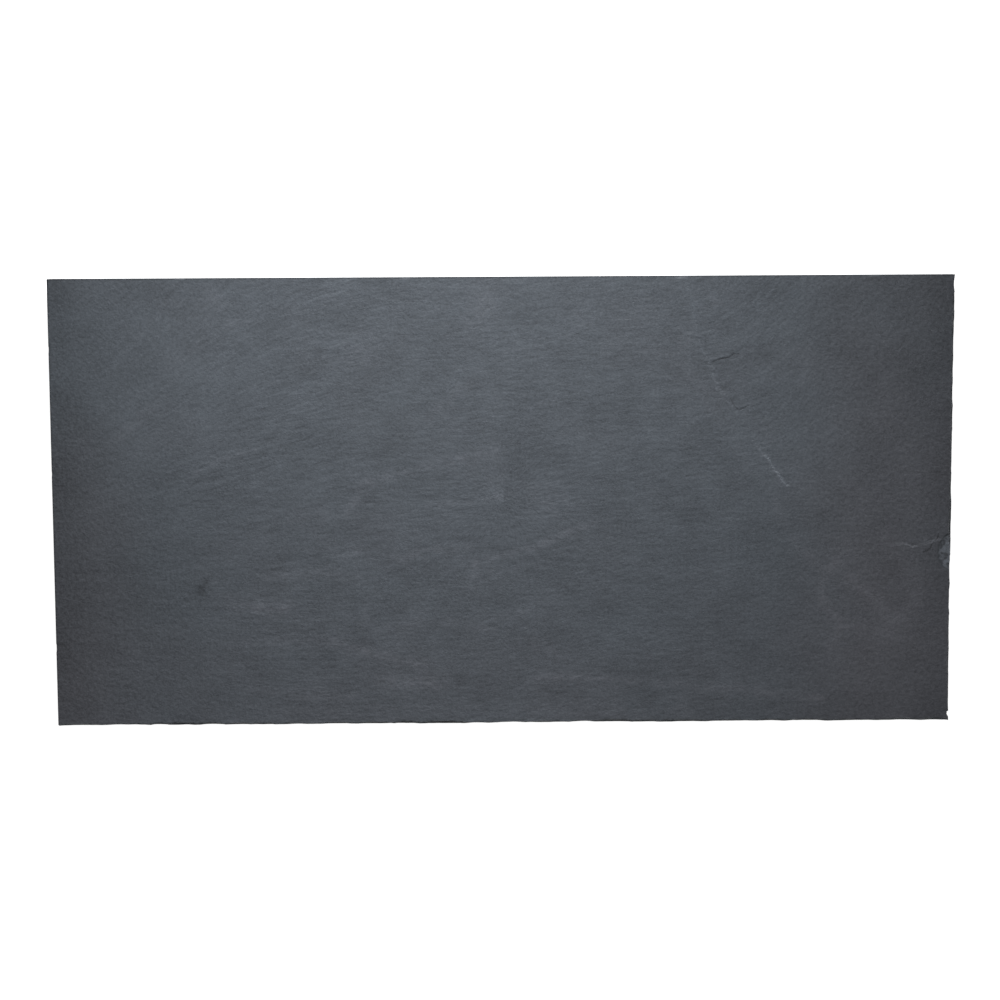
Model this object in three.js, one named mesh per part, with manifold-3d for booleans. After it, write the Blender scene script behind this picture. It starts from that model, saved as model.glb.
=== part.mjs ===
// A natural slate slab: one stone, split along its cleavage and cut to a two-to-one rectangle.
// Millimetres, +Z up. The origin is the centre of the flat underside, +X runs along the length and
// +Y towards the sawn back edge. The riven face looks up. The back and left edges are sawn square,
// and the front and right edges are dressed, so flakes are missing all along their upper arris.
import * as THREE from "three";
import { mergeVertices } from "three/addons/utils/BufferGeometryUtils.js";
import Module from "manifold-3d";

const wasm = await Module();
wasm.setup();

// Driving dimensions
const LENGTH = 600;
const WIDTH = 300;
const THICKNESS = 15;
const HALF_LENGTH = LENGTH / 2;
const HALF_WIDTH = WIDTH / 2;

// The riven face: a shallow swell, as three crossing waves
const SWELL_DEPTH = 0.7;
const SWELL_WAVES = [
  { alongX: 820, alongY: 610, phase: 0.6, share: 0.5 },
  { alongX: 330, alongY: -900, phase: 2.1, share: 0.3 },
  { alongX: 250, alongY: 270, phase: 4.0, share: 0.2 },
];
const FACE_CELL = 10; // grid step of the riven face
const CUT_MARGIN = 20; // how far each cutting block runs past what it cuts

// The lost leaf: right of this ledge the split ran one layer deeper.
// The ledge dies out towards the back.
const LEDGE_DROP = 0.4;
const LEDGE_LINE = [
  [122, 150],
  [130, 105],
  [137, 92],
  [143, 75],
  [156, 58],
  [169, 38],
  [181, 21],
  [193, 7],
  [213, 1],
  [240, -14],
  [257, -28],
  [273, -30],
  [287, -28],
  [300, -23],
];
const LEDGE_FULL_AT_Y = 60; // in front of this line the leaf is missing to its full depth
const LEDGE_GONE_AT_Y = 112; // behind this one the face is whole again

// The dressed edges
const FLAKE_LENGTH = { least: 12, most: 34 }; // along the edge
const FLAKE_WIDTH = { least: 1.2, most: 2.3 }; // in from the edge, at the face
const FLAKE_DEPTH = { least: 2.4, most: 4.6 }; // down from the face
const FLAKE_OVERLAP = 1.25; // how far each flake runs into its neighbours
const RAGGED = 0.6; // how far the foot of a dressed edge wanders inwards
const CUTTER_SIDES = 12; // facets of the rounded cutter that leaves a flake's hollow
const CUTTER_RINGS = 6;

// Nicks in the sawn arrises: place along the edge and radius
const BACK_NICKS = [
  { at: -212, radius: 1.3 },
  { at: -64, radius: 0.9 },
  { at: 118, radius: 1.1 },
  { at: 246, radius: 1.6 },
];
const LEFT_NICKS = [
  { at: -96, radius: 1.4 },
  { at: 21, radius: 0.9 },
  { at: 104, radius: 1.1 },
];

// One spalled patch on the right edge, where the ledge meets it
const SPALL = { centre: [HALF_LENGTH + 1, -35, THICKNESS], radii: [11, 13, 1.1] };

// One bite out of the right edge, beside the front right corner
const CORNER_BITE = {
  centre: [HALF_LENGTH + 0.4, -HALF_WIDTH + 4.2, THICKNESS],
  radii: [2, 1.9, 9],
};

// Repeatable random numbers from 0 to 1
function randomFrom(seed) {
  let state = seed;
  return () => {
    state = (state + 0x6d2b79f5) | 0;
    let mixed = Math.imul(state ^ (state >>> 15), 1 | state);
    mixed = (mixed + Math.imul(mixed ^ (mixed >>> 7), 61 | mixed)) ^ mixed;
    return ((mixed ^ (mixed >>> 14)) >>> 0) / 4294967296;
  };
}

function between(range, share) {
  return THREE.MathUtils.lerp(range.least, range.most, share);
}

// A closed three.js geometry as a solid that can be cut
function solidOf(geometry) {
  const bare = geometry.clone();
  bare.deleteAttribute("normal");
  bare.deleteAttribute("uv");
  const merged = mergeVertices(bare);
  return new wasm.Manifold(
    new wasm.Mesh({
      numProp: 3,
      vertProperties: merged.getAttribute("position").array,
      triVerts: new Uint32Array(merged.index.array),
    }),
  );
}

// The cut solid back as a three.js geometry
function geometryOf(solid) {
  const { vertProperties, triVerts } = solid.getMesh();
  const geometry = new THREE.BufferGeometry();
  geometry.setAttribute("position", new THREE.BufferAttribute(vertProperties, 3));
  geometry.setIndex(new THREE.BufferAttribute(triVerts, 1));
  geometry.computeVertexNormals();
  return geometry;
}

// Height of the riven face before the leaf was lost
function rivenHeight(x, y) {
  const wave = SWELL_WAVES.reduce(
    (sum, { alongX, alongY, phase, share }) =>
      sum + share * Math.sin(2 * Math.PI * (x / alongX + y / alongY) + phase),
    0,
  );
  return THICKNESS - (SWELL_DEPTH * (1 - wave)) / 2;
}

// Height of the layer under the lost leaf, a little above the face where the leaf is whole
function underLeafHeight(x, y) {
  const missing = 1 - THREE.MathUtils.smoothstep(y, LEDGE_FULL_AT_Y, LEDGE_GONE_AT_Y);
  const clearOfFace = 0.1;
  return rivenHeight(x, y) + clearOfFace - (LEDGE_DROP + clearOfFace) * missing;
}

// A block from well under the slab up to a height, larger than the slab all round
function blockUnder(height) {
  const length = LENGTH + 2 * CUT_MARGIN;
  const width = WIDTH + 2 * CUT_MARGIN;
  const block = new THREE.BoxGeometry(
    length,
    width,
    2 * CUT_MARGIN,
    length / FACE_CELL,
    width / FACE_CELL,
    1,
  );
  const corners = block.getAttribute("position");
  for (let i = 0; i < corners.count; i++) {
    if (corners.getZ(i) > 0) corners.setZ(i, height(corners.getX(i), corners.getY(i)));
  }
  return solidOf(block);
}

// An outline as a prism that stands on the slab's underside and runs well past its face
function prismOn(outline) {
  const depth = THICKNESS + CUT_MARGIN;
  return solidOf(new THREE.ExtrudeGeometry(outline, { depth, bevelEnabled: false }));
}

// Flakes struck off along a dressed edge, by their place along it
function flakesAlong(edgeLength, seed) {
  const random = randomFrom(seed);
  const flakes = [];
  let start = 0;
  while (start < edgeLength) {
    const end = Math.min(start + between(FLAKE_LENGTH, random()), edgeLength);
    flakes.push({
      centre: (start + end) / 2,
      halfLength: ((end - start) / 2) * FLAKE_OVERLAP,
      width: between(FLAKE_WIDTH, random()),
      depth: between(FLAKE_DEPTH, random()),
      inset: RAGGED * random(),
    });
    start = end;
  }
  return flakes;
}

const frontFlakes = flakesAlong(LENGTH, 41);
const rightFlakes = flakesAlong(WIDTH, 57);

// The slab's plan: square on the sawn sides, and in and out by each flake on the dressed ones
function planOutline() {
  const plan = new THREE.Shape();
  plan.moveTo(-HALF_LENGTH, HALF_WIDTH);
  plan.lineTo(-HALF_LENGTH, -HALF_WIDTH);
  for (const { centre, inset } of frontFlakes) {
    plan.lineTo(centre - HALF_LENGTH, -HALF_WIDTH + inset);
  }
  plan.lineTo(HALF_LENGTH, -HALF_WIDTH);
  for (const { centre, inset } of rightFlakes) {
    plan.lineTo(HALF_LENGTH - inset, centre - HALF_WIDTH);
  }
  plan.lineTo(HALF_LENGTH, HALF_WIDTH);
  plan.closePath();
  return plan;
}

// The ground that the lost leaf covered, out past the back and right edges
function leafOutline() {
  const right = HALF_LENGTH + CUT_MARGIN;
  const back = HALF_WIDTH + CUT_MARGIN;
  const leaf = new THREE.Shape();
  leaf.moveTo(right, back);
  leaf.lineTo(LEDGE_LINE[0][0], back);
  for (const [x, y] of LEDGE_LINE) leaf.lineTo(x, y);
  leaf.lineTo(right, LEDGE_LINE.at(-1)[1]);
  leaf.closePath();
  return leaf;
}

// A rounded cutter, as a flake comes off stone
function hollow([x, y, z], [alongX, alongY, alongZ]) {
  const cutter = new THREE.SphereGeometry(1, CUTTER_SIDES, CUTTER_RINGS);
  cutter.scale(alongX, alongY, alongZ);
  cutter.translate(x, y, z);
  return solidOf(cutter);
}

function edgeHollows() {
  const hollows = [hollow(SPALL.centre, SPALL.radii), hollow(CORNER_BITE.centre, CORNER_BITE.radii)];
  for (const { centre, halfLength, width, depth } of frontFlakes) {
    hollows.push(hollow([centre - HALF_LENGTH, -HALF_WIDTH, THICKNESS], [halfLength, width, depth]));
  }
  for (const { centre, halfLength, width, depth } of rightFlakes) {
    hollows.push(hollow([HALF_LENGTH, centre - HALF_WIDTH, THICKNESS], [width, halfLength, depth]));
  }
  for (const { at, radius } of BACK_NICKS) {
    hollows.push(hollow([at, HALF_WIDTH, THICKNESS], [2 * radius, radius / 2, radius]));
  }
  for (const { at, radius } of LEFT_NICKS) {
    hollows.push(hollow([-HALF_LENGTH, at, THICKNESS], [radius / 2, 2 * radius, radius]));
  }
  return hollows;
}

function slateSlab() {
  const lostLeaf = prismOn(leafOutline()).subtract(blockUnder(underLeafHeight));
  let stone = blockUnder(rivenHeight).subtract(lostLeaf).intersect(prismOn(planOutline()));
  for (const cutter of edgeHollows()) stone = stone.subtract(cutter);
  const slate = new THREE.MeshStandardMaterial({ color: 0x565b62, roughness: 0.6, metalness: 0 });
  const slab = new THREE.Mesh(geometryOf(stone), slate);
  slab.name = "slate_slab";
  return slab;
}

const part = new THREE.Group();
part.add(slateSlab());

export default part;
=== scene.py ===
# A riven slate slab, lying flat on a pale floor with its split face up.
# Metres, +Z up, in the slab's own frame: the origin is the centre of the flat underside, +X runs along
# the length and +Y towards the sawn back edge. Sizes named in millimetres are multiplied by MM.
import math

import bmesh
import bpy
import numpy as np
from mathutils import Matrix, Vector


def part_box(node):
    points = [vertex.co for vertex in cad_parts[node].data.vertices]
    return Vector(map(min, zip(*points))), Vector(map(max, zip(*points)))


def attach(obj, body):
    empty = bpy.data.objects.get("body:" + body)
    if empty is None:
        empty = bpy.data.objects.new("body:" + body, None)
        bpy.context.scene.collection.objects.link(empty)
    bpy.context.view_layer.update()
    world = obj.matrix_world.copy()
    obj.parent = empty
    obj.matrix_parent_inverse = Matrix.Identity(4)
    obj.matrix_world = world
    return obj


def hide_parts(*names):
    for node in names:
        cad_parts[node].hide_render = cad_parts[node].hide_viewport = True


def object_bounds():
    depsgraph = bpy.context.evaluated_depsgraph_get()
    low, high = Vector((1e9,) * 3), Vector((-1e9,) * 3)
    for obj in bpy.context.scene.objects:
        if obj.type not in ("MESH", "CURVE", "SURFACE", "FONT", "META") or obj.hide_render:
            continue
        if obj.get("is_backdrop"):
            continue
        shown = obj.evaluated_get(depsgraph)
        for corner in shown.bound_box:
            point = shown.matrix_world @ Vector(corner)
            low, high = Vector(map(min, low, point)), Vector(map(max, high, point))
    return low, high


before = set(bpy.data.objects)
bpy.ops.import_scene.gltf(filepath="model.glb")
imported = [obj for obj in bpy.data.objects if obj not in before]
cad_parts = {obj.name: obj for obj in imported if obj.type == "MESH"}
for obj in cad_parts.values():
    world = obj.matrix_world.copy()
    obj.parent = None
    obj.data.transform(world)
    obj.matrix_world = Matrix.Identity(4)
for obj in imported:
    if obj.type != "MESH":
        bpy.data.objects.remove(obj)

MM = 0.001
cad_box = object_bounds()
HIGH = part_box("slate_slab")[1]
HALF_LENGTH = HIGH.x / MM
HALF_WIDTH = HIGH.y / MM
THICKNESS = HIGH.z / MM

# The riven face: a shallow swell, as three crossing waves, in millimetres
SWELL_DEPTH = 0.7
SWELL_WAVES = [  # wavelength along X and along Y, phase, share
    (820, 610, 0.6, 0.5),
    (330, -900, 2.1, 0.3),
    (250, 270, 4.0, 0.2),
]

# The ledge of the lost leaf, which the split left one layer deeper on its right
LEDGE_DROP = 0.4
LEDGE_RUN = (26, 1.6)  # width of the scarp in plan, where it fades out and where it is steep
LEDGE_FULL_AT_Y = 60
LEDGE_GONE_AT_Y = 112
LEDGE_LINE = [
    (122, 150), (130, 105), (137, 92), (143, 75), (156, 58), (169, 38), (181, 21), (193, 7),
    (213, 1), (240, -14), (257, -28), (273, -30), (287, -28), (300, -23),
]
LEDGE_RAGGED = [(9, 2.4), (2.8, 1.9)]  # size and reach of the steps that break the ledge up

# How steep and freshly broken the scarp is along the ledge, by its X, from nothing to one, which also
# sets the painted highlight on the scarp
LEDGE_STEEPNESS_AND_HIGHLIGHT = [
    (130, 0.6), (136, 0.8), (145, 0.78), (151, 0.4), (160, 0.5), (170, 0.6), (176, 0.95),
    (189, 1), (192, 0.2), (225, 0.25), (246, 0.35), (262, 0.45), (267, 0.85), (275, 0.9),
    (279, 0.4), (282, 0.8), (288, 0.85), (300, 0.7),
]

# Hairline cracks that run off the ledge, fine grooves painted dark with the shade in them
CRACKS = [
    [(139, 93), (144, 95), (150, 96), (153, 98), (157, 98)],
    [(152, 67), (154, 63), (157, 61), (163, 64)],
    [(281, -35), (285, -33), (287, -29), (290, -26), (291, -23)],
]

# Pale wisps where the split ran a hair higher: points, half width and strength
WISPS = [
    ([(-274, -4), (-215, 13)], 1.9, 0.25),
    ([(-213, 14), (-206, 20), (-190, 29), (-164, 37)], 1.9, 0.8),
    ([(-104, -6), (-93, 13), (-47, 26), (-7, 34)], 3.2, 0.8),
    ([(-21, -56), (-19, -40), (23, -29), (40, -21), (60, -14)], 2.8, 0.9),
    ([(-74, -38), (-44, -31), (-24, -30)], 3.2, 0.7),
    ([(-51, -1), (-21, 1), (6, 6)], 2.2, 0.5),
    ([(24, 2), (34, 2)], 12, 0.8),
    ([(-184, -66), (-160, -71), (-144, -70)], 4.5, 1.0),
    ([(-157, -48), (-121, -46), (-98, -51)], 3.4, 0.6),
    ([(-142, -9), (-120, -6)], 4.5, 0.5),
    ([(-127, -19), (-107, -33), (-94, -30)], 5.0, 0.55),
    ([(-184, -94), (-141, -92), (-117, -93)], 3.4, 0.5),
    ([(-117, -93), (-91, -100), (-54, -110)], 3.8, 0.9),
    ([(-92, -66), (-94, -82)], 3.0, 0.4),
    ([(-87, -85), (-41, -80), (-7, -85)], 2.8, 0.6),
    ([(-7, -77), (16, -73)], 3.0, 0.6),
    ([(14, -92), (39, -104)], 5.0, 0.45),
    ([(-82, -121), (-62, -120), (-44, -121)], 6.0, 0.9),
    ([(-167, -124), (-134, -130), (-104, -130)], 4.5, 0.5),
    ([(19, -120), (39, -118), (79, -120), (126, -125), (159, -127), (213, -134)], 2.8, 0.85),
    ([(-257, 44), (-247, 51), (-234, 64)], 4.0, 0.6),
    ([(-256, 60), (-226, 86), (-196, 112)], 2.6, 0.35),
    ([(-262, 88), (-240, 112), (-222, 134)], 2.6, 0.4),
    ([(-194, 142), (-187, 134)], 5.0, 0.6),
    ([(-180, 120), (-160, 122)], 4.0, 0.5),
    ([(-99, 99), (-92, 106)], 11, 0.6),
    ([(-48, 58), (-31, 74), (-24, 80)], 5.5, 0.6),
    ([(-21, 122), (-12, 133)], 7.0, 0.7),
    ([(3, 99), (10, 104)], 7.0, 0.55),
    ([(12, 50), (20, 66), (39, 71)], 3.4, 0.5),
    ([(42, 114), (50, 122)], 9.0, 0.4),
    ([(138, 138), (141, 133)], 3.4, 0.7),
    ([(170, 50), (177, 42)], 7.0, 0.5),
    ([(128, 128), (118, 92), (150, 50), (164, 26)], 6.0, 0.35),
    ([(178, 6), (186, -13), (199, -33), (214, -46), (213, -70), (226, -83), (219, -98)], 3.2, 0.6),
    ([(222, -42), (216, -47)], 4.0, 0.7),
    ([(233, -53), (246, -63), (260, -80), (273, -77), (277, -63)], 5.5, 0.8),
    ([(226, -83), (262, -92), (284, -100)], 4.0, 0.45),
    ([(213, -62), (219, -75), (226, -82), (221, -96)], 2.0, 1.0),
    ([(184, 14), (172, 32)], 3.4, 0.5),
    ([(-200, -142), (-60, -140), (120, -141)], 7, 0.4),
]

# Dark specks pressed into the face: place, radius and strength
SPECKS = [
    ((-202, -57), 4.0, 1.0),
    ((-199, -51), 2.4, 0.6),
    ((-20, 80), 6.0, 0.45),
    ((-208, 105), 3.2, 0.4),
    ((-172, 103), 3.0, 0.35),
    ((-30, -119), 3.0, 0.6),
    ((244, 83), 5.0, 0.3),
    ((262, -46), 9.0, 0.3),
]

# Broad patches where the face is made a little paler or darker: place, radius and share
PATCHES = [
    ((-215, 100), 75, 0.11),
    ((-285, -55), 60, -0.13),
    ((190, 45), 45, 0.08),
    ((262, -90), 50, 0.11),
    ((275, 130), 60, -0.07),
    ((-296, 34), 30, -0.14),
    ((-200, 68), 30, 0.07),
]

# Direction of the grain, in degrees from +X, fanning out at both ends of the slab
GRAIN_MIDDLE = 6.0
LEFT_FAN = {"turn": 0.26, "centre_y": -30, "sets_in": (60, 260)}
RIGHT_FAN = {"turn": 36, "sets_in": (-4, 40), "rises": (-90, 10)}
COMB_ANGLES = [-14, 0, 14, 28, 42]
COMB_STEP = 14
COMBED = {"middle": -20, "fades": (130, 290)}
COMBING_LOST = 0.75
FRONT_LEFT_LOST = 0.5  # what the front left corner loses besides
FRONT_LEFT = {"left": (110, 230), "front": (20, 90)}  # where it sets in, out from the middle

# The dressed edges, flaked off along the front and the right
FLAKE_LENGTH = (12, 34)
FLAKE_WIDTH = (1.2, 2.3)
FLAKE_DEPTH = (2.4, 4.6)
FLAKE_OVERLAP = 1.25
RAGGED = 0.6
RAGGED_REACH = 8  # how far into the face the wandering of a dressed edge is taken up
FRONT_SEED = 41
RIGHT_SEED = 57
SPALL = {"centre": (HALF_LENGTH + 1, -35), "radii": (11, 13, 1.1)}
CORNER_BITE = {"centre": (HALF_LENGTH + 0.4, -HALF_WIDTH + 4.2), "radii": (2, 1.9, 9)}

# Nicks in the sawn arrises: place along the edge and radius
BACK_NICKS = [(-212, 1.3), (-64, 0.9), (118, 1.1), (246, 1.6)]
LEFT_NICKS = [(-96, 1.4), (21, 0.9), (104, 1.1)]

# The relief, as inputs of its Geometry Nodes, in millimetres
RELIEF = {
    "Thickness": THICKNESS,
    "Headroom": 0.08,
    "Swell Depth": SWELL_DEPTH,
    "Ledge Drop": LEDGE_DROP,
    "Ripple Height": 0.10,
    "Combing Height": 0.09,
    "Wisp Height": 0.05,
    "Bed Raggedness": 0.8,
}
RIPPLES = {"length": 30, "width": 5.5, "detail": 1}
COMBING = {"length": 12, "width": 2.6, "detail": 0}
WISP_LUMPS = 7
BED_SIZE = (16, 1.6)  # along the wall and in height
BED_ROUGHNESS = 0.6

# Finishes
BLUE_GREY = (0.0705, 0.081, 0.0945)
PLUM_GREY = (0.077, 0.080, 0.092)
BROKEN_GREY = (0.050, 0.056, 0.064)
SAWN_GREY = (0.070, 0.078, 0.090)

# The riven face's texture along the grain: length and width in millimetres, detail and roughness
ALONG_GRAIN = {
    "streaks": (8, 1.8, 3, 0.6),
    "combing": (11, 2.4, 0, 0.55),
    "lines": (42, 1.9, 1, 0.55),
    "bands": (45, 14, 2, 0.55),
}
# Its texture that has no direction: size in millimetres, detail and roughness
ALL_ROUND = {
    "clouds": (26, 4, 0.5),
    "pebbles": (2.9, 2, 0.5),
    "grit": (1.5, 2, 0.8),
    "wisp lumps": (8, 3, 0.5),
    "scarp gaps": (4, 2, 0.5),
    "spall lumps": (3.5, 3, 0.5),
    "crack wander": (2.4, 2, 0.5),
    "broken clots": (5, 2, 0.5),
    "plum clouds": (60, 3, 0.5),
}
PEBBLED = (1.4, 0.8)  # strength of the pebbles where the grain isn't combed and where it is

# Where each mark on the face starts and where it is full, in millimetres
SCARP_EDGE = (1.3, 0.2)
SCARP_GAPS = (0.2, 0.9)  # no length, but how steep and lumpy the scarp has to be to look broken
SPALL_EDGE = (0.1, 1)
CRACK_EDGE = (0.8, 0.1)
STRUCK_EDGE = (0.05, 0.3)
# painted shade: a thin dark band along the edges of the face
SHADED_ARRIS_EDGE = (1.3, 0.2)
# painted shade: the face is darkened towards both ends, where the light falls off
SHADED_ENDS = (265, 300)

# How far the texture breaks the marks up, as shares
SPALL_LUMPS = 1.8
CRACK_WANDER = 0.7
STRUCK_GRIT = 0.1
WISP_SHARES = {"wisp lumps": 1, "streaks": 1.8}
WISP_AVERAGE = 0.8

# The face's average tone, and how much paler each thing on it makes it, or darker below nothing
FACE_TONE = (1, {
    "streaks": 0.2,
    "combing": 0.14,
    "lines": 0.12,
    "bands": 0.15,
    "clouds": 0.17,
    "pebbles": 0.18,
    "grit": 0.34,
    "patches": 1,
    "wisps": 0.24,
    # pale fresh break, and on the scarp partly a painted highlight where it faces the light
    "fresh_and_highlight": 0.42,
    "spall": 0.35,
    # painted shade towards both ends, where the light falls off
    "ends": -0.12,
    # painted shade along the edges of the face
    "arrises": -0.3,
    "specks": -0.42,
    # painted shade in the hairline cracks
    "cracks": -0.35,
})
BROKEN_TONE = (1, {"grit": 0.3, "broken clots": 0.2})

# Its roughness and its fine relief, in millimetres
FACE_ROUGHNESS = (0.62, {"grit": 0.12, "wisps": -0.06, "struck": 0.2})
FACE_RELIEF = {"streaks": 0.08, "pebbles": 0.12, "grit": 0.08, "cracks": -0.1, "broken": 0.2}
FACE_SPECULAR = 0.35

# Where the grey turns plum: the place it starts at, the place where it is full, and its share
PLUM_RIGHT = (170, 260, 0.85)
PLUM_LOST_BACK = (0, 140, 0.45)  # what the right end's plum loses towards the back
PLUM_LEFT = (-220, -290, 0.7)
PLUM_LEFT_FRONT = (100, -60)
PLUM_FRONT = (-20, -150, 0.3)
PLUM_SPREAD = {"plum clouds": 0.25, "wisps": 0.3}
PLUM_SPARED = 0.6  # what the spall loses of it

# Walls and underside. Beds and marks have a length and a height or width in millimetres, and noise
# has a size, each followed by its detail and roughness. A tone is the average and the shares.
DRESSED_BEDS = (25, 0.9, 4, 0.65)
DRESSED_GRIT = (1.3, 3, 0.7)
DRESSED_TONE = (1.1, {"beds": 0.5, "grit": 0.2})
DRESSED_ROUGHNESS = (0.75, {"grit": 0.1})
DRESSED_RELIEF = {"beds": 0.6, "grit": 0.2}
SAWN_BEDS = (60, 1.5, 3, 0.5)
SAWN_MARKS = (1.1, 3, 0.6)
SAWN_BOW = 0.02  # how far the blade's marks bow
SAWN_UPRIGHT = 0.02  # how slowly they change upwards
SAWN_TONE = (0.92, {"marks": 0.2, "beds": 0.22})
SAWN_ROUGHNESS = (0.6, {"marks": 0.06})
SAWN_RELIEF = {"marks": 0.05}
GAUGE_MARKS = (300, 4.5, 3, 0.6)
GAUGED_CLOUDS = (55, 4)
GAUGED_GRIT = (2.5, 2, 0.7)
GAUGED_TONE = (0.94, {"marks": 0.26, "clouds": 0.24, "grit": 0.14})
GAUGED_ROUGHNESS = (0.62, {"marks": 0.08})
GAUGED_RELIEF = {"marks": 0.14, "grit": 0.06}

# Edges and map of the mesh. The map's parts are shares of its width and height.
SHARP_ANGLE = 40
MAP_WIDTH = (0.01, 0.99)
FACE_MAP = (0.35, 0.99)
UNDERSIDE_MAP = (0.11, 0.34)
WALL_STRIP = 0.025
STRIP_MARGIN = 0.1
FACES_ALONG_X = 0.7  # a wall whose normal has more than this along X is an end wall

# Floor, light and camera, in metres and degrees
FLOOR_HALF = 6
FLOOR_LEVEL = -0.2 * MM
FLOOR_WHITE = 0.9
FLOOR_ROUGHNESS = 0.8
FLOOR_SPECULAR = 0.2
FLOOR_GLOW = 0.9
ROOM_LIGHT = 0.18
BACK_LIGHT = {
    "place": (0, 0.839, 0.574),
    "aim": (-0.045, 0.032, 0),
    "size": (0.35, 0.35),
    "spread": 66,
    "power": 2.4,
}
VIEW_LENS = 85
VIEW_TURNS = (-6.465, -0.543, -0.295)
VIEW_PLACE = (-0.0162, 0.1791, 1.5775)

# Mesh of the slab
CELL_ALONG = 2.1
CELL_ACROSS = 1.3
NEAR_SAWN = [0, 0.35, 0.8]
NEAR_DRESSED = [0, 0.35, 0.7, 1.05, 1.4, 1.8, 2.3, 3.0, 4.0]
WALL_DEPTHS = [0, 0.04, 0.1, 0.17, 0.25, 0.34, 0.44, 0.55, 0.67, 0.79, 0.9, 1]
UNDERSIDE_STEP = 8  # grid lines to one cell of the underside
FINE_REACH = 2.4  # half width of the finer band along the ledge and the cracks
FINE_CUTS = 3
FACE, DRESSED, SAWN, UNDERSIDE = range(4)


def random_from(seed):
    """Repeatable random numbers from 0 to 1, the same ones that placed the flakes on the solid slab."""
    whole = 0xFFFFFFFF
    state = seed
    while True:
        state = (state + 0x6D2B79F5) & whole
        mixed = ((state ^ (state >> 15)) * (1 | state)) & whole
        mixed = ((mixed + ((mixed ^ (mixed >> 7)) * (61 | mixed) & whole)) & whole) ^ mixed
        yield (mixed ^ (mixed >> 14)) / 2**32


def between(limits, share):
    return limits[0] + (limits[1] - limits[0]) * share


def flakes_along(edge_length, seed):
    """Flakes struck off along a dressed edge: place, half length, width, depth and inset of each."""
    random = random_from(seed)
    flakes = []
    start = 0
    while start < edge_length:
        end = min(start + between(FLAKE_LENGTH, next(random)), edge_length)
        half = (end - start) / 2 * FLAKE_OVERLAP
        place = (start + end - edge_length) / 2
        width = between(FLAKE_WIDTH, next(random))
        depth = between(FLAKE_DEPTH, next(random))
        flakes.append((place, half, width, depth, RAGGED * next(random)))
        start = end
    return flakes


front_flakes = flakes_along(2 * HALF_LENGTH, FRONT_SEED)
right_flakes = flakes_along(2 * HALF_WIDTH, RIGHT_SEED)


def smooth_step(value, start, end):
    share = np.clip((value - start) / (end - start), 0, 1)
    return share * share * (3 - 2 * share)


def away_from(line, x, y):
    """Distance of each point from a chain of straight stretches, positive on the chain's left."""
    nearest = np.full(x.shape, np.inf)
    side = np.ones(x.shape)
    for (ax, ay), (bx, by) in zip(line, line[1:]):
        dx, dy = bx - ax, by - ay
        along = np.clip(((x - ax) * dx + (y - ay) * dy) / (dx * dx + dy * dy), 0, 1)
        away = np.hypot(x - ax - along * dx, y - ay - along * dy)
        closer = away < nearest
        side[closer] = np.sign(dx * (y - ay) - dy * (x - ax))[closer]
        nearest[closer] = away[closer]
    return nearest * side


# ---------------------------------------------------------------- the blank


def grid_lines(half, cell, near_low, near_high):
    """Grid lines from -half to half: the given ones near each end and even cells between them."""
    low, high = near_low[-1] - half, half - near_high[-1]
    even = np.linspace(low, high, round((high - low) / cell) + 1)[1:-1]
    ends = [half - near for near in reversed(near_high)]
    return [near - half for near in near_low] + list(even) + ends


def blank_faces(last_i, last_j, last_row, point):
    """Faces of the closed blank, each with its zone: the riven face, the walls and the underside."""
    for j in range(last_j):
        for i in range(last_i):
            yield FACE, [point(i, j), point(i + 1, j), point(i + 1, j + 1), point(i, j + 1)]
    front = [(i, 0) for i in range(last_i)]
    right = [(last_i, j) for j in range(last_j)]
    back = [(i, last_j) for i in range(last_i, 0, -1)]
    left = [(0, j) for j in range(last_j, 0, -1)]
    rim = front + right + back + left
    dressed = len(front) + len(right)
    for k, (a, b) in enumerate(zip(rim, rim[1:] + rim[:1])):
        zone = DRESSED if k < dressed else SAWN
        for row in range(last_row):
            corners = [point(*a, row), point(*a, row + 1), point(*b, row + 1), point(*b, row)]
            yield zone, corners
    stops_i = [*range(0, last_i, UNDERSIDE_STEP), last_i]
    stops_j = [*range(0, last_j, UNDERSIDE_STEP), last_j]
    for j0, j1 in zip(stops_j, stops_j[1:]):
        for i0, i1 in zip(stops_i, stops_i[1:]):
            loop = [(i, j0) for i in range(i0, i1, 1 if j0 == 0 else i1 - i0)]
            loop += [(i1, j) for j in range(j0, j1, 1 if i1 == last_i else j1 - j0)]
            loop += [(i, j1) for i in range(i1, i0, -1 if j1 == last_j else i0 - i1)]
            loop += [(i0, j) for j in range(j1, j0, -1 if i0 == 0 else j0 - j1)]
            yield UNDERSIDE, [point(*at, last_row) for at in reversed(loop)]


def slab_blank():
    """A closed square-edged slab, fine on its face and coarse underneath."""
    lines_x = grid_lines(HALF_LENGTH, CELL_ALONG, NEAR_SAWN, NEAR_DRESSED)
    lines_y = grid_lines(HALF_WIDTH, CELL_ACROSS, NEAR_DRESSED, NEAR_SAWN)
    points, number = [], {}

    def point(i, j, row=0):
        if (i, j, row) not in number:
            number[i, j, row] = len(points)
            level = THICKNESS * (1 - WALL_DEPTHS[row])
            points.append((lines_x[i] * MM, lines_y[j] * MM, level * MM))
        return number[i, j, row]

    last = len(lines_x) - 1, len(lines_y) - 1, len(WALL_DEPTHS) - 1
    zones, faces = zip(*blank_faces(*last, point))
    blank = bpy.data.meshes.new("slate_slab_blank")
    blank.from_pydata(points, [], faces)
    blank.attributes.new("zone", "INT", "FACE").data.foreach_set("value", zones)
    return blank


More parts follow.
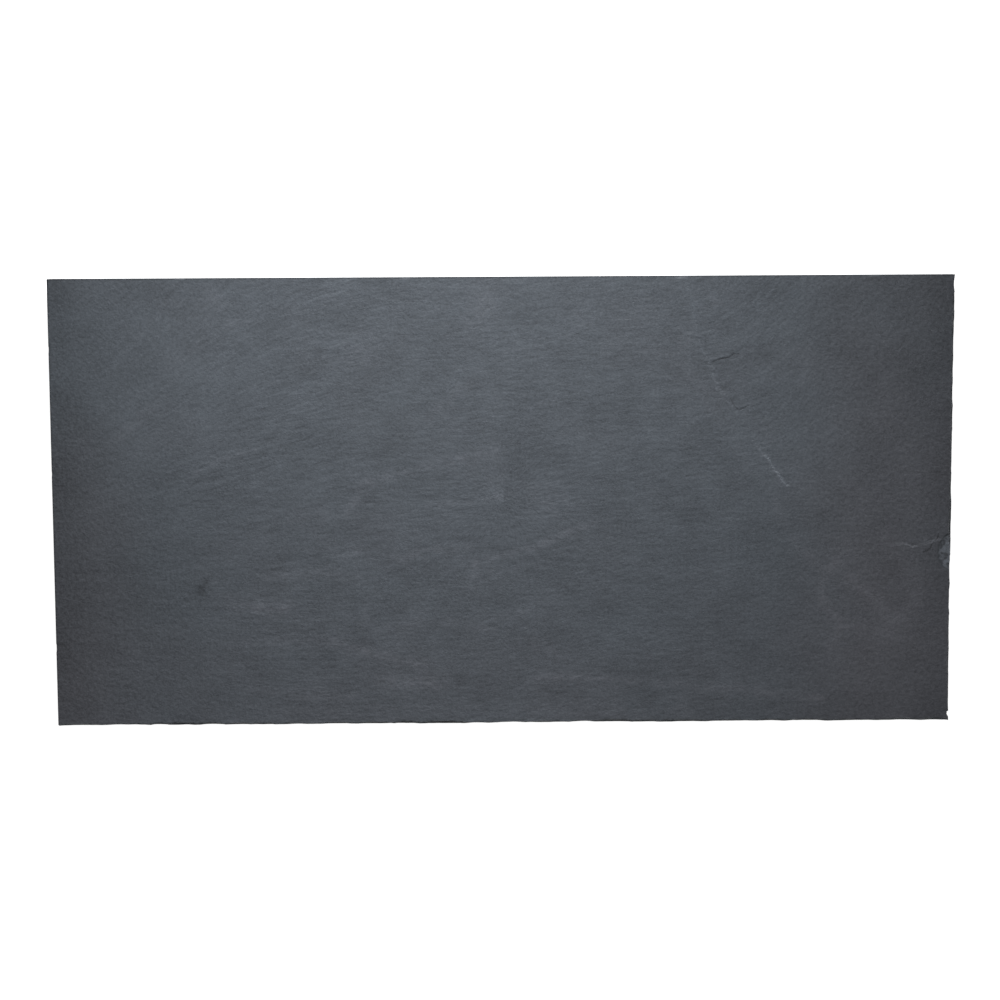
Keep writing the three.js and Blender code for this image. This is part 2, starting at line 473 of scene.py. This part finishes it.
def make_finer(blank):
    """Splits the face's cells in a narrow band along the ledge and the cracks."""
    work = bmesh.new()
    work.from_mesh(blank)
    zone = work.faces.layers.int["zone"]
    cells = [face for face in work.faces if face[zone] == FACE]
    middles = np.array([face.calc_center_median() for face in cells]) / MM
    x, y = middles[:, 0], middles[:, 1]
    near = (np.abs(away_from(LEDGE_LINE, x, y)) < FINE_REACH) & (y < LEDGE_GONE_AT_Y)
    for crack in CRACKS:
        near |= np.abs(away_from(crack, x, y)) < FINE_REACH
    edges = {edge for face, wanted in zip(cells, near) if wanted for edge in face.edges}
    bmesh.ops.subdivide_edges(
        work,
        edges=list(edges),
        cuts=FINE_CUTS,
        use_grid_fill=True,
        use_single_edge=True,
    )
    work.to_mesh(blank)
    work.free()


# ---------------------------------------------------------------- what is written on the blank


def hollow_depth(x, y, centre, radii):
    """How deep a rounded hollow centred on the face's level cuts down at each point."""
    inside = 1 - ((x - centre[0]) / radii[0]) ** 2 - ((y - centre[1]) / radii[1]) ** 2
    return radii[2] * np.sqrt(np.clip(inside, 0, None))


def edge_hollows(x, y):
    """Depth struck off the face at each point by the flakes, the spall, the bite and the nicks."""
    cut = np.zeros(x.shape)
    hollows = [(SPALL["centre"], SPALL["radii"]), (CORNER_BITE["centre"], CORNER_BITE["radii"])]
    for place, half, width, depth, _ in front_flakes:
        hollows.append(((place, -HALF_WIDTH), (half, width, depth)))
    for place, half, width, depth, _ in right_flakes:
        hollows.append(((HALF_LENGTH, place), (width, half, depth)))
    for place, radius in BACK_NICKS:
        hollows.append(((place, HALF_WIDTH), (2 * radius, radius / 2, radius)))
    for place, radius in LEFT_NICKS:
        hollows.append(((-HALF_LENGTH, place), (radius / 2, 2 * radius, radius)))
    for centre, radii in hollows:
        cut = np.maximum(cut, hollow_depth(x, y, centre, radii))
    return cut


def edge_insets(along, flakes, half):
    """How far a dressed edge stands in from its line, in straight runs from flake to flake."""
    places = [-half] + [flake[0] for flake in flakes] + [half]
    insets = [0] + [flake[4] for flake in flakes] + [0]
    return np.interp(along, places, insets)


def grain_direction(x, y, past_ledge):
    """Grain direction in degrees: level in the middle, fanning out on the left and past the ledge."""
    left = smooth_step(-x, *LEFT_FAN["sets_in"]) * LEFT_FAN["turn"] * (y - LEFT_FAN["centre_y"])
    right = smooth_step(past_ledge, *RIGHT_FAN["sets_in"]) * smooth_step(y, *RIGHT_FAN["rises"])
    direction = GRAIN_MIDDLE + left + right * RIGHT_FAN["turn"]
    return np.clip(direction, COMB_ANGLES[0], COMB_ANGLES[-1])


def combed_share(x, y):
    """How strongly the grain is combed: fully in the middle of the slab and hardly at its ends."""
    ends = smooth_step(np.abs(x - COMBED["middle"]), *COMBED["fades"])
    front_left = smooth_step(-x, *FRONT_LEFT["left"]) * smooth_step(-y, *FRONT_LEFT["front"])
    return (1 - COMBING_LOST * ends) * (1 - FRONT_LEFT_LOST * front_left)


def wisp_strength(x, y):
    """How pale each point is, from nothing to one, around the listed wisps."""
    strength = np.zeros(x.shape)
    for line, half_width, most in WISPS:
        away = away_from(line, x, y) / half_width
        strength = np.maximum(strength, most * np.exp(-away * away))
    return strength


def speck_strength(x, y):
    strength = np.zeros(x.shape)
    for (speck_x, speck_y), radius, most in SPECKS:
        away = np.hypot(x - speck_x, y - speck_y) / radius
        strength = np.maximum(strength, most * np.exp(-away * away))
    return strength


def patch_tone(x, y):
    """How much paler than usual the face is made around each point, as a share, or darker below
    nothing.
    """
    tone = np.zeros(x.shape)
    for (patch_x, patch_y), radius, most in PATCHES:
        away = np.hypot(x - patch_x, y - patch_y) / radius
        tone += most * np.exp(-away * away)
    return tone


def mark_out(blank):
    """Wanders the dressed edges and writes on every point what the relief and the finishes need."""
    count = len(blank.vertices)
    points = np.empty(count * 3)
    blank.vertices.foreach_get("co", points)
    x, y, z = points.reshape(count, 3).T / MM
    near_front = np.clip(1 - (y + HALF_WIDTH) / RAGGED_REACH, 0, 1)
    near_right = np.clip(1 - (HALF_LENGTH - x) / RAGGED_REACH, 0, 1)
    front_inset = near_front * edge_insets(x, front_flakes, HALF_LENGTH)
    right_inset = near_right * edge_insets(y, right_flakes, HALF_WIDTH)
    x, y = x - right_inset, y + front_inset
    blank.vertices.foreach_set("co", np.stack([x, y, z], axis=1).ravel() * MM)
    past_ledge = away_from(LEDGE_LINE, x, y)
    crack = np.min([np.abs(away_from(line, x, y)) for line in CRACKS], axis=0)
    notes = {
        "struck": edge_hollows(x, y),
        "past_ledge": past_ledge,
        "crack": crack,
        "grain": grain_direction(x, y, past_ledge),
        "wisp": wisp_strength(x, y),
        "combed": combed_share(x, y),
        "patch": patch_tone(x, y),
        "scarp": np.interp(x, *zip(*LEDGE_STEEPNESS_AND_HIGHLIGHT)),
        "spall": hollow_depth(x, y, SPALL["centre"], SPALL["radii"]),
        "speck": speck_strength(x, y),
    }
    for name, values in notes.items():
        blank.attributes.new(name, "FLOAT", "POINT").data.foreach_set("value", values)


# ---------------------------------------------------------------- writing node trees as formulas


class Wire:
    """One output in a node tree. Sums and products of wires add Math nodes."""

    def __init__(self, tree, socket):
        self.tree = tree
        self.socket = socket

    def __add__(self, other):
        return maths("ADD", self, other)

    def __sub__(self, other):
        return maths("SUBTRACT", self, other)

    def __rsub__(self, other):
        return maths("SUBTRACT", other, self)

    def __mul__(self, other):
        return maths("MULTIPLY", self, other)

    def __abs__(self):
        return maths("ABSOLUTE", self)

    __radd__ = __add__
    __rmul__ = __mul__


def node(tree, kind, settings=None, **inputs):
    """Adds a node. Inputs are plain values or wires, named as on the node with _ for a space."""
    new = tree.nodes.new(kind)
    for name, value in (settings or {}).items():
        setattr(new, name, value)
    for name, value in inputs.items():
        feed(new.inputs[name.replace("_", " ")], value)
    return new


def feed(socket, value):
    if isinstance(value, Wire):
        value.tree.links.new(value.socket, socket)
    elif socket.type == "RGBA":
        socket.default_value = (*value, 1)
    else:
        socket.default_value = value


def maths(operation, *values):
    tree = next(value.tree for value in values if isinstance(value, Wire))
    new = node(tree, "ShaderNodeMath", {"operation": operation})
    for socket, value in zip(new.inputs, values):
        feed(socket, value)
    return Wire(tree, new.outputs[0])


def ramp(value, start, end):
    """0 up to start, 1 from end on, and a smooth step between."""
    settings = {"interpolation_type": "SMOOTHSTEP"}
    new = node(value.tree, "ShaderNodeMapRange", settings, Value=value, From_Min=start, From_Max=end)
    return Wire(value.tree, new.outputs[0])


def split(vector):
    new = node(vector.tree, "ShaderNodeSeparateXYZ", Vector=vector)
    return [Wire(vector.tree, socket) for socket in new.outputs]


def join(x, y, z=0.0):
    tree = x.tree
    return Wire(tree, node(tree, "ShaderNodeCombineXYZ", X=x, Y=y, Z=z).outputs[0])


def place_in_mm(tree):
    """Where on the slab a point is, in millimetres."""
    if tree.type == "GEOMETRY":
        place = node(tree, "GeometryNodeInputPosition").outputs["Position"]
    else:
        place = node(tree, "ShaderNodeTexCoord").outputs["Object"]
    return stretched(Wire(tree, place), 1 / MM, 1 / MM, 1 / MM)


def turned(vector, angle):
    """A place turned about Z, by an angle in degrees."""
    settings = {"rotation_type": "Z_AXIS"}
    angle = math.radians(angle)
    new = node(vector.tree, "ShaderNodeVectorRotate", settings, Vector=vector, Angle=angle)
    return Wire(vector.tree, new.outputs[0])


def stretched(vector, *by):
    new = node(vector.tree, "ShaderNodeVectorMath", {"operation": "MULTIPLY"})
    feed(new.inputs[0], vector)
    feed(new.inputs[1], by)
    return Wire(vector.tree, new.outputs[0])


def note(tree, name):
    """A number written on the slab's points."""
    if tree.type == "GEOMETRY":
        named = node(tree, "GeometryNodeInputNamedAttribute", {"data_type": "FLOAT"}, Name=name)
        return Wire(tree, named.outputs["Attribute"])
    return Wire(tree, node(tree, "ShaderNodeAttribute", {"attribute_name": name}).outputs["Fac"])


def noise(place, size, detail=2.0, roughness=0.5, distortion=0.0, flat=True):
    """Soft noise around 0, from about -1 to 1, with features of about the given size."""
    settings = {"noise_dimensions": "2D" if flat else "3D"}
    new = node(
        place.tree,
        "ShaderNodeTexNoise",
        settings,
        Vector=place,
        Scale=1 / size,
        Detail=detail,
        Roughness=roughness,
        Distortion=distortion,
    )
    return (Wire(place.tree, new.outputs[0]) - 0.5) * 2.0


def combed_noise(place, grain, length, width, detail=2.0, roughness=0.55):
    """Noise drawn out along the grain, with a layer for each combing direction."""
    total = 0
    for angle in COMB_ANGLES:
        share = maths("MAXIMUM", 1 - abs(grain - angle) * (1 / COMB_STEP), 0)
        drawn = stretched(turned(place, -angle), 1 / length, 1 / width, 1)
        total = share * noise(drawn, 1, detail, roughness) + total
    return total


# ---------------------------------------------------------------- the riven relief, in Geometry Nodes


def swell_drop(x, y, depth):
    """How far the face lies under the slab's full thickness, from the crossing waves."""
    total = 0
    for along_x, along_y, phase, share in SWELL_WAVES:
        turns = x * (math.tau / along_x) + y * (math.tau / along_y) + phase
        total = maths("SINE", turns) * share + total
    return (1 - total) * depth * 0.5


def ragged_ledge(tree, place):
    """Distance past the ledge, with the ledge broken into small steps and corners."""
    past = note(tree, "past_ledge")
    for size, reach in LEDGE_RAGGED:
        past = past + noise(place, size, detail=2) * reach
    return past


def ledge_share(tree, place):
    """0 where the leaf is whole, 1 where it is lost, with a ragged scarp between."""
    past = ragged_ledge(tree, place)
    steepness = note(tree, "scarp")
    half_run = (1 - steepness) * (1 - steepness) * (LEDGE_RUN[0] / 2) + LEDGE_RUN[1] / 2
    y = split(place)[1]
    return ramp(past, half_run * -1, half_run) * ramp(y, LEDGE_GONE_AT_Y, LEDGE_FULL_AT_Y)


def face_level(tree, place, size):
    """Height of the face: the swell, the ledge, the ripples, the combing and what was struck off."""
    x, y, _ = split(place)
    grain = note(tree, "grain")
    ripple = combed_noise(place, grain, **RIPPLES) * size["Ripple Height"]
    combing = combed_noise(place, grain, **COMBING) * size["Combing Height"]
    combing = combing * note(tree, "combed")
    wisp = note(tree, "wisp") * noise(place, WISP_LUMPS, detail=3) * size["Wisp Height"]
    level = size["Thickness"] - size["Headroom"] - swell_drop(x, y, size["Swell Depth"])
    leaf = ledge_share(tree, place) * size["Ledge Drop"]
    return level - leaf + ripple + combing + wisp - note(tree, "struck")


def bed_setback(along, height, raggedness):
    """How far the beds on a dressed wall stand back, from nothing to the raggedness."""
    bed_length, bed_height = BED_SIZE
    place = join(along * (1 / bed_length), height * (1 / bed_height))
    bed = noise(place, 1, detail=3, roughness=BED_ROUGHNESS) * raggedness
    return (bed + raggedness) * 0.5


def in_zone(tree, zone):
    """Whether a face of the slab belongs to a zone."""
    numbered = node(tree, "GeometryNodeInputNamedAttribute", {"data_type": "INT"}, Name="zone")
    chosen = node(tree, "FunctionNodeCompare", {"data_type": "INT", "operation": "EQUAL"})
    feed(chosen.inputs[2], Wire(tree, numbered.outputs["Attribute"]))
    feed(chosen.inputs[3], zone)
    return Wire(tree, chosen.outputs[0])


def reshaped(tree, kind, shape, **inputs):
    """The shape after one more geometry node."""
    return Wire(tree, node(tree, kind, Geometry=shape, **inputs).outputs[0])


def relief_tree(finishes):
    """Geometry Nodes that turn the marked-out blank into riven stone."""
    tree = bpy.data.node_groups.new("riven_relief", "GeometryNodeTree")
    face = tree.interface
    face.new_socket("Slab", in_out="OUTPUT", socket_type="NodeSocketGeometry")
    face.new_socket("Blank", in_out="INPUT", socket_type="NodeSocketGeometry")
    for name in RELIEF:
        face.new_socket(name, in_out="INPUT", socket_type="NodeSocketFloat")
    given = node(tree, "NodeGroupInput")
    size = {name: Wire(tree, given.outputs[name]) for name in RELIEF}
    raggedness = size["Bed Raggedness"]

    place = place_in_mm(tree)
    x, y, z = split(place)
    new_z = z * (1 / THICKNESS) * face_level(tree, place, size)
    near_front = ramp(y, RAGGED_REACH - HALF_WIDTH, -HALF_WIDTH)
    near_right = ramp(x, HALF_LENGTH - RAGGED_REACH, HALF_LENGTH)
    new_x = x - near_right * bed_setback(y, new_z, raggedness)
    new_y = y + near_front * bed_setback(x, new_z, raggedness)

    new_place = stretched(join(new_x, new_y, new_z), MM, MM, MM)
    shape = Wire(tree, given.outputs["Blank"])
    shape = reshaped(tree, "GeometryNodeSetPosition", shape, Position=new_place)
    shape = reshaped(tree, "GeometryNodeRealizeInstances", shape)
    for zone, finish in enumerate(finishes):
        settings = {"Selection": in_zone(tree, zone), "Material": finish}
        shape = reshaped(tree, "GeometryNodeSetMaterial", shape, **settings)
    feed(node(tree, "NodeGroupOutput").inputs["Slab"], shape)
    return tree


def grown(blank, tree):
    """The blank with the relief applied, as a plain mesh."""
    carrier = bpy.data.objects.new("blank", blank)
    bpy.context.collection.objects.link(carrier)
    relief = carrier.modifiers.new("riven relief", "NODES")
    relief.node_group = tree
    for item in tree.interface.items_tree:
        if item.in_out == "INPUT" and item.name in RELIEF:
            relief[item.identifier] = RELIEF[item.name]
    seen = carrier.evaluated_get(bpy.context.evaluated_depsgraph_get())
    stone = bpy.data.meshes.new_from_object(seen)
    bpy.data.objects.remove(carrier)
    return stone


# ---------------------------------------------------------------- finishes


def new_finish(name, specular=0.5):
    finish = bpy.data.materials.new(name)
    finish.use_nodes = True
    tree = finish.node_tree
    tree.nodes.clear()
    shader = node(tree, "ShaderNodeBsdfPrincipled", Specular_IOR_Level=specular)
    result = node(tree, "ShaderNodeOutputMaterial")
    tree.links.new(shader.outputs[0], result.inputs["Surface"])
    return finish, tree, shader


def mixed(share, one, other):
    """One colour at share 0 and the other at share 1."""
    new = node(share.tree, "ShaderNodeMix", {"data_type": "RGBA"})
    feed(new.inputs[0], share)
    feed(new.inputs[6], one)
    feed(new.inputs[7], other)
    return Wire(share.tree, new.outputs[2])


def toned(colour, tone):
    """A colour made lighter or darker by a tone around 1."""
    new = node(tone.tree, "ShaderNodeVectorMath", {"operation": "SCALE"}, Scale=tone)
    feed(new.inputs[0], colour)
    return Wire(tone.tree, new.outputs[0])


def raised(height):
    """Fine relief, with its height in millimetres."""
    bump = node(height.tree, "ShaderNodeBump", Height=height, Distance=MM)
    return Wire(height.tree, bump.outputs[0])


def weighed(parts, shares, average=0):
    """The average plus each of the named parts times its share."""
    total = average
    for name, share in shares.items():
        total = parts[name] * share + total
    return total


def around(setting, parts):
    """A setting that varies: its average plus the shares of the named parts."""
    average, shares = setting
    return weighed(parts, shares, average)


def face_texture(tree, place):
    """What the split face shows all over: streaks and bands along the grain, clouds and grit."""
    grain = note(tree, "grain")
    combed = note(tree, "combed")
    texture = {}
    for name, (length, width, detail, roughness) in ALONG_GRAIN.items():
        texture[name] = combed_noise(place, grain, length, width, detail, roughness) * combed
    for name, (size, detail, roughness) in ALL_ROUND.items():
        texture[name] = noise(place, size, detail, roughness)
    uncombed_pebbles, combed_pebbles = PEBBLED
    pebbled = uncombed_pebbles - combed * (uncombed_pebbles - combed_pebbles)
    texture["pebbles"] = texture["pebbles"] * pebbled
    return texture


def fresh_scarp_and_highlight(tree, place, texture):
    """The freshly broken stone along the ledge, where it is steep, made pale partly as a painted
    highlight on the scarp.
    """
    steepness = note(tree, "scarp")
    near = ramp(abs(ragged_ledge(tree, place)), *SCARP_EDGE)
    unbroken = ramp(texture["scarp gaps"] + steepness, *SCARP_GAPS)
    return near * steepness * steepness * unbroken


def face_marks(tree, place, texture):
    """What the split face shows in places: patches, wisps, specks, cracks, broken stone, painted shade
    at its ends, edges and cracks, and a painted highlight on the scarp.
    """
    x, y, _ = split(place)
    scarp = fresh_scarp_and_highlight(tree, place, texture)
    spall = ramp(note(tree, "spall") * (texture["spall lumps"] * SPALL_LUMPS + 1), *SPALL_EDGE)
    crack = note(tree, "crack") + texture["crack wander"] * CRACK_WANDER
    struck = note(tree, "struck") + texture["grit"] * STRUCK_GRIT
    to_arris = maths("MINIMUM", HALF_LENGTH - abs(x), HALF_WIDTH - abs(y))
    return {
        "patches": note(tree, "patch"),
        "wisps": note(tree, "wisp") * weighed(texture, WISP_SHARES, WISP_AVERAGE),
        "specks": note(tree, "speck") * (texture["streaks"] + 1),
        # painted shade in the hairline cracks, with a fine groove in the relief
        "cracks": ramp(crack, *CRACK_EDGE),
        "spall": spall,
        # fresh break on the spall and the scarp, and on the scarp a painted highlight
        "fresh_and_highlight": maths("MAXIMUM", spall, scarp),
        "broken": scarp * texture["grit"],
        "struck": ramp(struck, *STRUCK_EDGE),
        # painted shade towards both ends, where the light falls off
        "ends": ramp(abs(x), *SHADED_ENDS),
        # painted shade along the edges of the face
        "arrises": ramp(to_arris, *SHADED_ARRIS_EDGE),
    }


def plum_share(place, face):
    """How plum the grey is: most at the right end, then at the left end and along the front."""
    x, y, _ = split(place)
    right_start, right_full, right_share = PLUM_RIGHT
    back_start, back_full, lost = PLUM_LOST_BACK
    left_start, left_full, left_share = PLUM_LEFT
    front_start, front_full, front_share = PLUM_FRONT
    right = ramp(x, right_start, right_full)
    right = right * (right_share - ramp(y, back_start, back_full) * lost)
    left = ramp(x, left_start, left_full) * ramp(y, *PLUM_LEFT_FRONT) * left_share
    front = ramp(y, front_start, front_full) * front_share
    plum = right + left + front + weighed(face, PLUM_SPREAD)
    return plum * (1 - face["spall"] * PLUM_SPARED)


def riven_finish():
    """The split face: blue-grey with streaks, grit, pale wisps, hairline cracks and struck flakes."""
    finish, tree, shader = new_finish("riven_slate", specular=FACE_SPECULAR)
    place = place_in_mm(tree)
    texture = face_texture(tree, place)
    marks = face_marks(tree, place, texture)
    face = {**texture, **marks}
    body = mixed(plum_share(place, face), BLUE_GREY, PLUM_GREY)
    body = toned(body, around(FACE_TONE, face))
    broken = toned(BROKEN_GREY, around(BROKEN_TONE, face))
    colour = mixed(face["struck"] * (1 - face["spall"]), body, broken)
    feed(shader.inputs["Base Color"], colour)
    feed(shader.inputs["Roughness"], around(FACE_ROUGHNESS, face))
    feed(shader.inputs["Normal"], raised(weighed(face, FACE_RELIEF)))
    return finish


def wall_beds(place, length, height, detail, roughness):
    """Thin beds seen end on in a wall."""
    drawn = stretched(place, 1 / length, 1 / length, 1 / height)
    return noise(drawn, 1, detail, roughness, flat=False)


def dressed_finish():
    """The struck walls: thin beds seen end on, rough and a little darker than the face."""
    finish, tree, shader = new_finish("dressed_slate")
    place = place_in_mm(tree)
    wall = {
        "beds": wall_beds(place, *DRESSED_BEDS),
        "grit": noise(place, *DRESSED_GRIT, flat=False),
    }
    feed(shader.inputs["Base Color"], toned(BROKEN_GREY, around(DRESSED_TONE, wall)))
    feed(shader.inputs["Roughness"], around(DRESSED_ROUGHNESS, wall))
    feed(shader.inputs["Normal"], raised(weighed(wall, DRESSED_RELIEF)))
    return finish


def sawn_finish():
    """The sawn walls: smooth and dull, with the blade's fine upright arcs."""
    finish, tree, shader = new_finish("sawn_slate")
    place = place_in_mm(tree)
    x, y, z = split(place)
    along = x + y + z * z * SAWN_BOW
    wall = {
        "marks": noise(join(along, z * SAWN_UPRIGHT), *SAWN_MARKS),
        "beds": wall_beds(place, *SAWN_BEDS),
    }
    feed(shader.inputs["Base Color"], toned(SAWN_GREY, around(SAWN_TONE, wall)))
    feed(shader.inputs["Roughness"], around(SAWN_ROUGHNESS, wall))
    feed(shader.inputs["Normal"], raised(weighed(wall, SAWN_RELIEF)))
    return finish


def gauged_finish():
    """The underside, planed flat: parallel gauge marks on a dull grey."""
    finish, tree, shader = new_finish("gauged_slate")
    place = place_in_mm(tree)
    x, y, _ = split(place)
    length, width, detail, roughness = GAUGE_MARKS
    drawn = join(x * (1 / length), y * (1 / width))
    underside = {
        "marks": noise(drawn, 1, detail, roughness),
        "clouds": noise(place, *GAUGED_CLOUDS),
        "grit": noise(place, *GAUGED_GRIT),
    }
    feed(shader.inputs["Base Color"], toned(SAWN_GREY, around(GAUGED_TONE, underside)))
    feed(shader.inputs["Roughness"], around(GAUGED_ROUGHNESS, underside))
    feed(shader.inputs["Normal"], raised(weighed(underside, GAUGED_RELIEF)))
    return finish


# ---------------------------------------------------------------- the slab


def lay_out_map(stone):
    """A flat map for the slab: the face on top, the underside below it and the walls in strips."""
    layer = stone.uv_layers.new(name="OFBake")
    loops = len(stone.loops)
    corner_points = np.empty(loops, dtype=int)
    stone.loops.foreach_get("vertex_index", corner_points)
    points = np.empty(len(stone.vertices) * 3)
    stone.vertices.foreach_get("co", points)
    x, y, z = (points.reshape(-1, 3)[corner_points] / MM).T
    sizes = np.empty(len(stone.polygons), dtype=int)
    stone.polygons.foreach_get("loop_total", sizes)
    zones = np.empty(len(stone.polygons), dtype=int)
    stone.attributes["zone"].data.foreach_get("value", zones)
    normals = np.empty(len(stone.polygons) * 3)
    stone.polygons.foreach_get("normal", normals)
    across = np.repeat(np.abs(normals.reshape(-1, 3)[:, 0]) > FACES_ALONG_X, sizes)
    zone = np.repeat(zones, sizes)
    u = (x / HALF_LENGTH + 1) / 2
    v = (y / HALF_WIDTH + 1) / 2
    along = np.where(across, v, u)
    strip = np.where(zone == DRESSED, 0, 2) + across
    wall_v = (strip + between((STRIP_MARGIN, 1 - STRIP_MARGIN), z / THICKNESS)) * WALL_STRIP
    map_v = np.select(
        [zone == FACE, zone == UNDERSIDE],
        [between(FACE_MAP, v), between(UNDERSIDE_MAP, v)],
        wall_v,
    )
    map_u = np.where((zone == DRESSED) | (zone == SAWN), along, u)
    spread = np.stack([between(MAP_WIDTH, map_u), map_v], axis=1)
    layer.uv.foreach_set("vector", spread.ravel())


def slate_slab():
    blank = slab_blank()
    make_finer(blank)
    mark_out(blank)
    finishes = [riven_finish(), dressed_finish(), sawn_finish(), gauged_finish()]
    stone = grown(blank, relief_tree(finishes))
    stone.name = "riven_slate_slab"
    stone.shade_smooth()
    stone.set_sharp_from_angle(angle=math.radians(SHARP_ANGLE))
    lay_out_map(stone)
    slab = bpy.data.objects.new("riven_slate_slab", stone)
    bpy.context.collection.objects.link(slab)
    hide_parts("slate_slab")
    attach(slab, "root")


# ---------------------------------------------------------------- floor, light and camera


def pale_floor():
    sheet = bpy.data.meshes.new("floor")
    corners = [(-1, -1), (1, -1), (1, 1), (-1, 1)]
    points = [(x * FLOOR_HALF, y * FLOOR_HALF, FLOOR_LEVEL) for x, y in corners]
    sheet.from_pydata(points, [], [(0, 1, 2, 3)])
    finish, tree, shader = new_finish("pale_floor", specular=FLOOR_SPECULAR)
    shader.inputs["Base Color"].default_value = (FLOOR_WHITE, FLOOR_WHITE, FLOOR_WHITE, 1)
    shader.inputs["Roughness"].default_value = FLOOR_ROUGHNESS
    shader.inputs["Emission Color"].default_value = (1, 1, 1, 1)
    shader.inputs["Emission Strength"].default_value = FLOOR_GLOW
    sheet.materials.append(finish)
    floor = bpy.data.objects.new("floor", sheet)
    bpy.context.collection.objects.link(floor)
    floor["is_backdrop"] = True


def soft_light(name, place, aim, size, spread, power):
    lamp = bpy.data.lights.new(name, "AREA")
    lamp.shape = "RECTANGLE"
    lamp.size, lamp.size_y = size
    lamp.spread = math.radians(spread)
    lamp.energy = power
    light = bpy.data.objects.new(name, lamp)
    light.location = place
    light.rotation_euler = (Vector(aim) - Vector(place)).to_track_quat("-Z", "Y").to_euler()
    light.visible_camera = False
    bpy.context.collection.objects.link(light)


def studio():
    soft_light("back_softbox", **BACK_LIGHT)
    world = bpy.data.worlds.new("pale_room")
    bpy.context.scene.world = world
    world.use_nodes = True
    world.node_tree.nodes["Background"].inputs["Color"].default_value = (1, 1, 1, 1)
    world.node_tree.nodes["Background"].inputs["Strength"].default_value = ROOM_LIGHT
    bpy.context.scene.view_settings.view_transform = "Standard"


def view_from_above():
    lens = bpy.data.cameras.new("camera")
    lens.lens = VIEW_LENS
    camera = bpy.data.objects.new("camera", lens)
    camera.rotation_euler = [math.radians(turn) for turn in VIEW_TURNS]
    camera.location = VIEW_PLACE
    bpy.context.collection.objects.link(camera)
    bpy.context.scene.camera = camera


slate_slab()
pale_floor()
studio()
view_from_above()

visual_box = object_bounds()
boxes = {"cad": cad_box, "visual": visual_box}
{name: [list(corner) for corner in box] for name, box in boxes.items()}
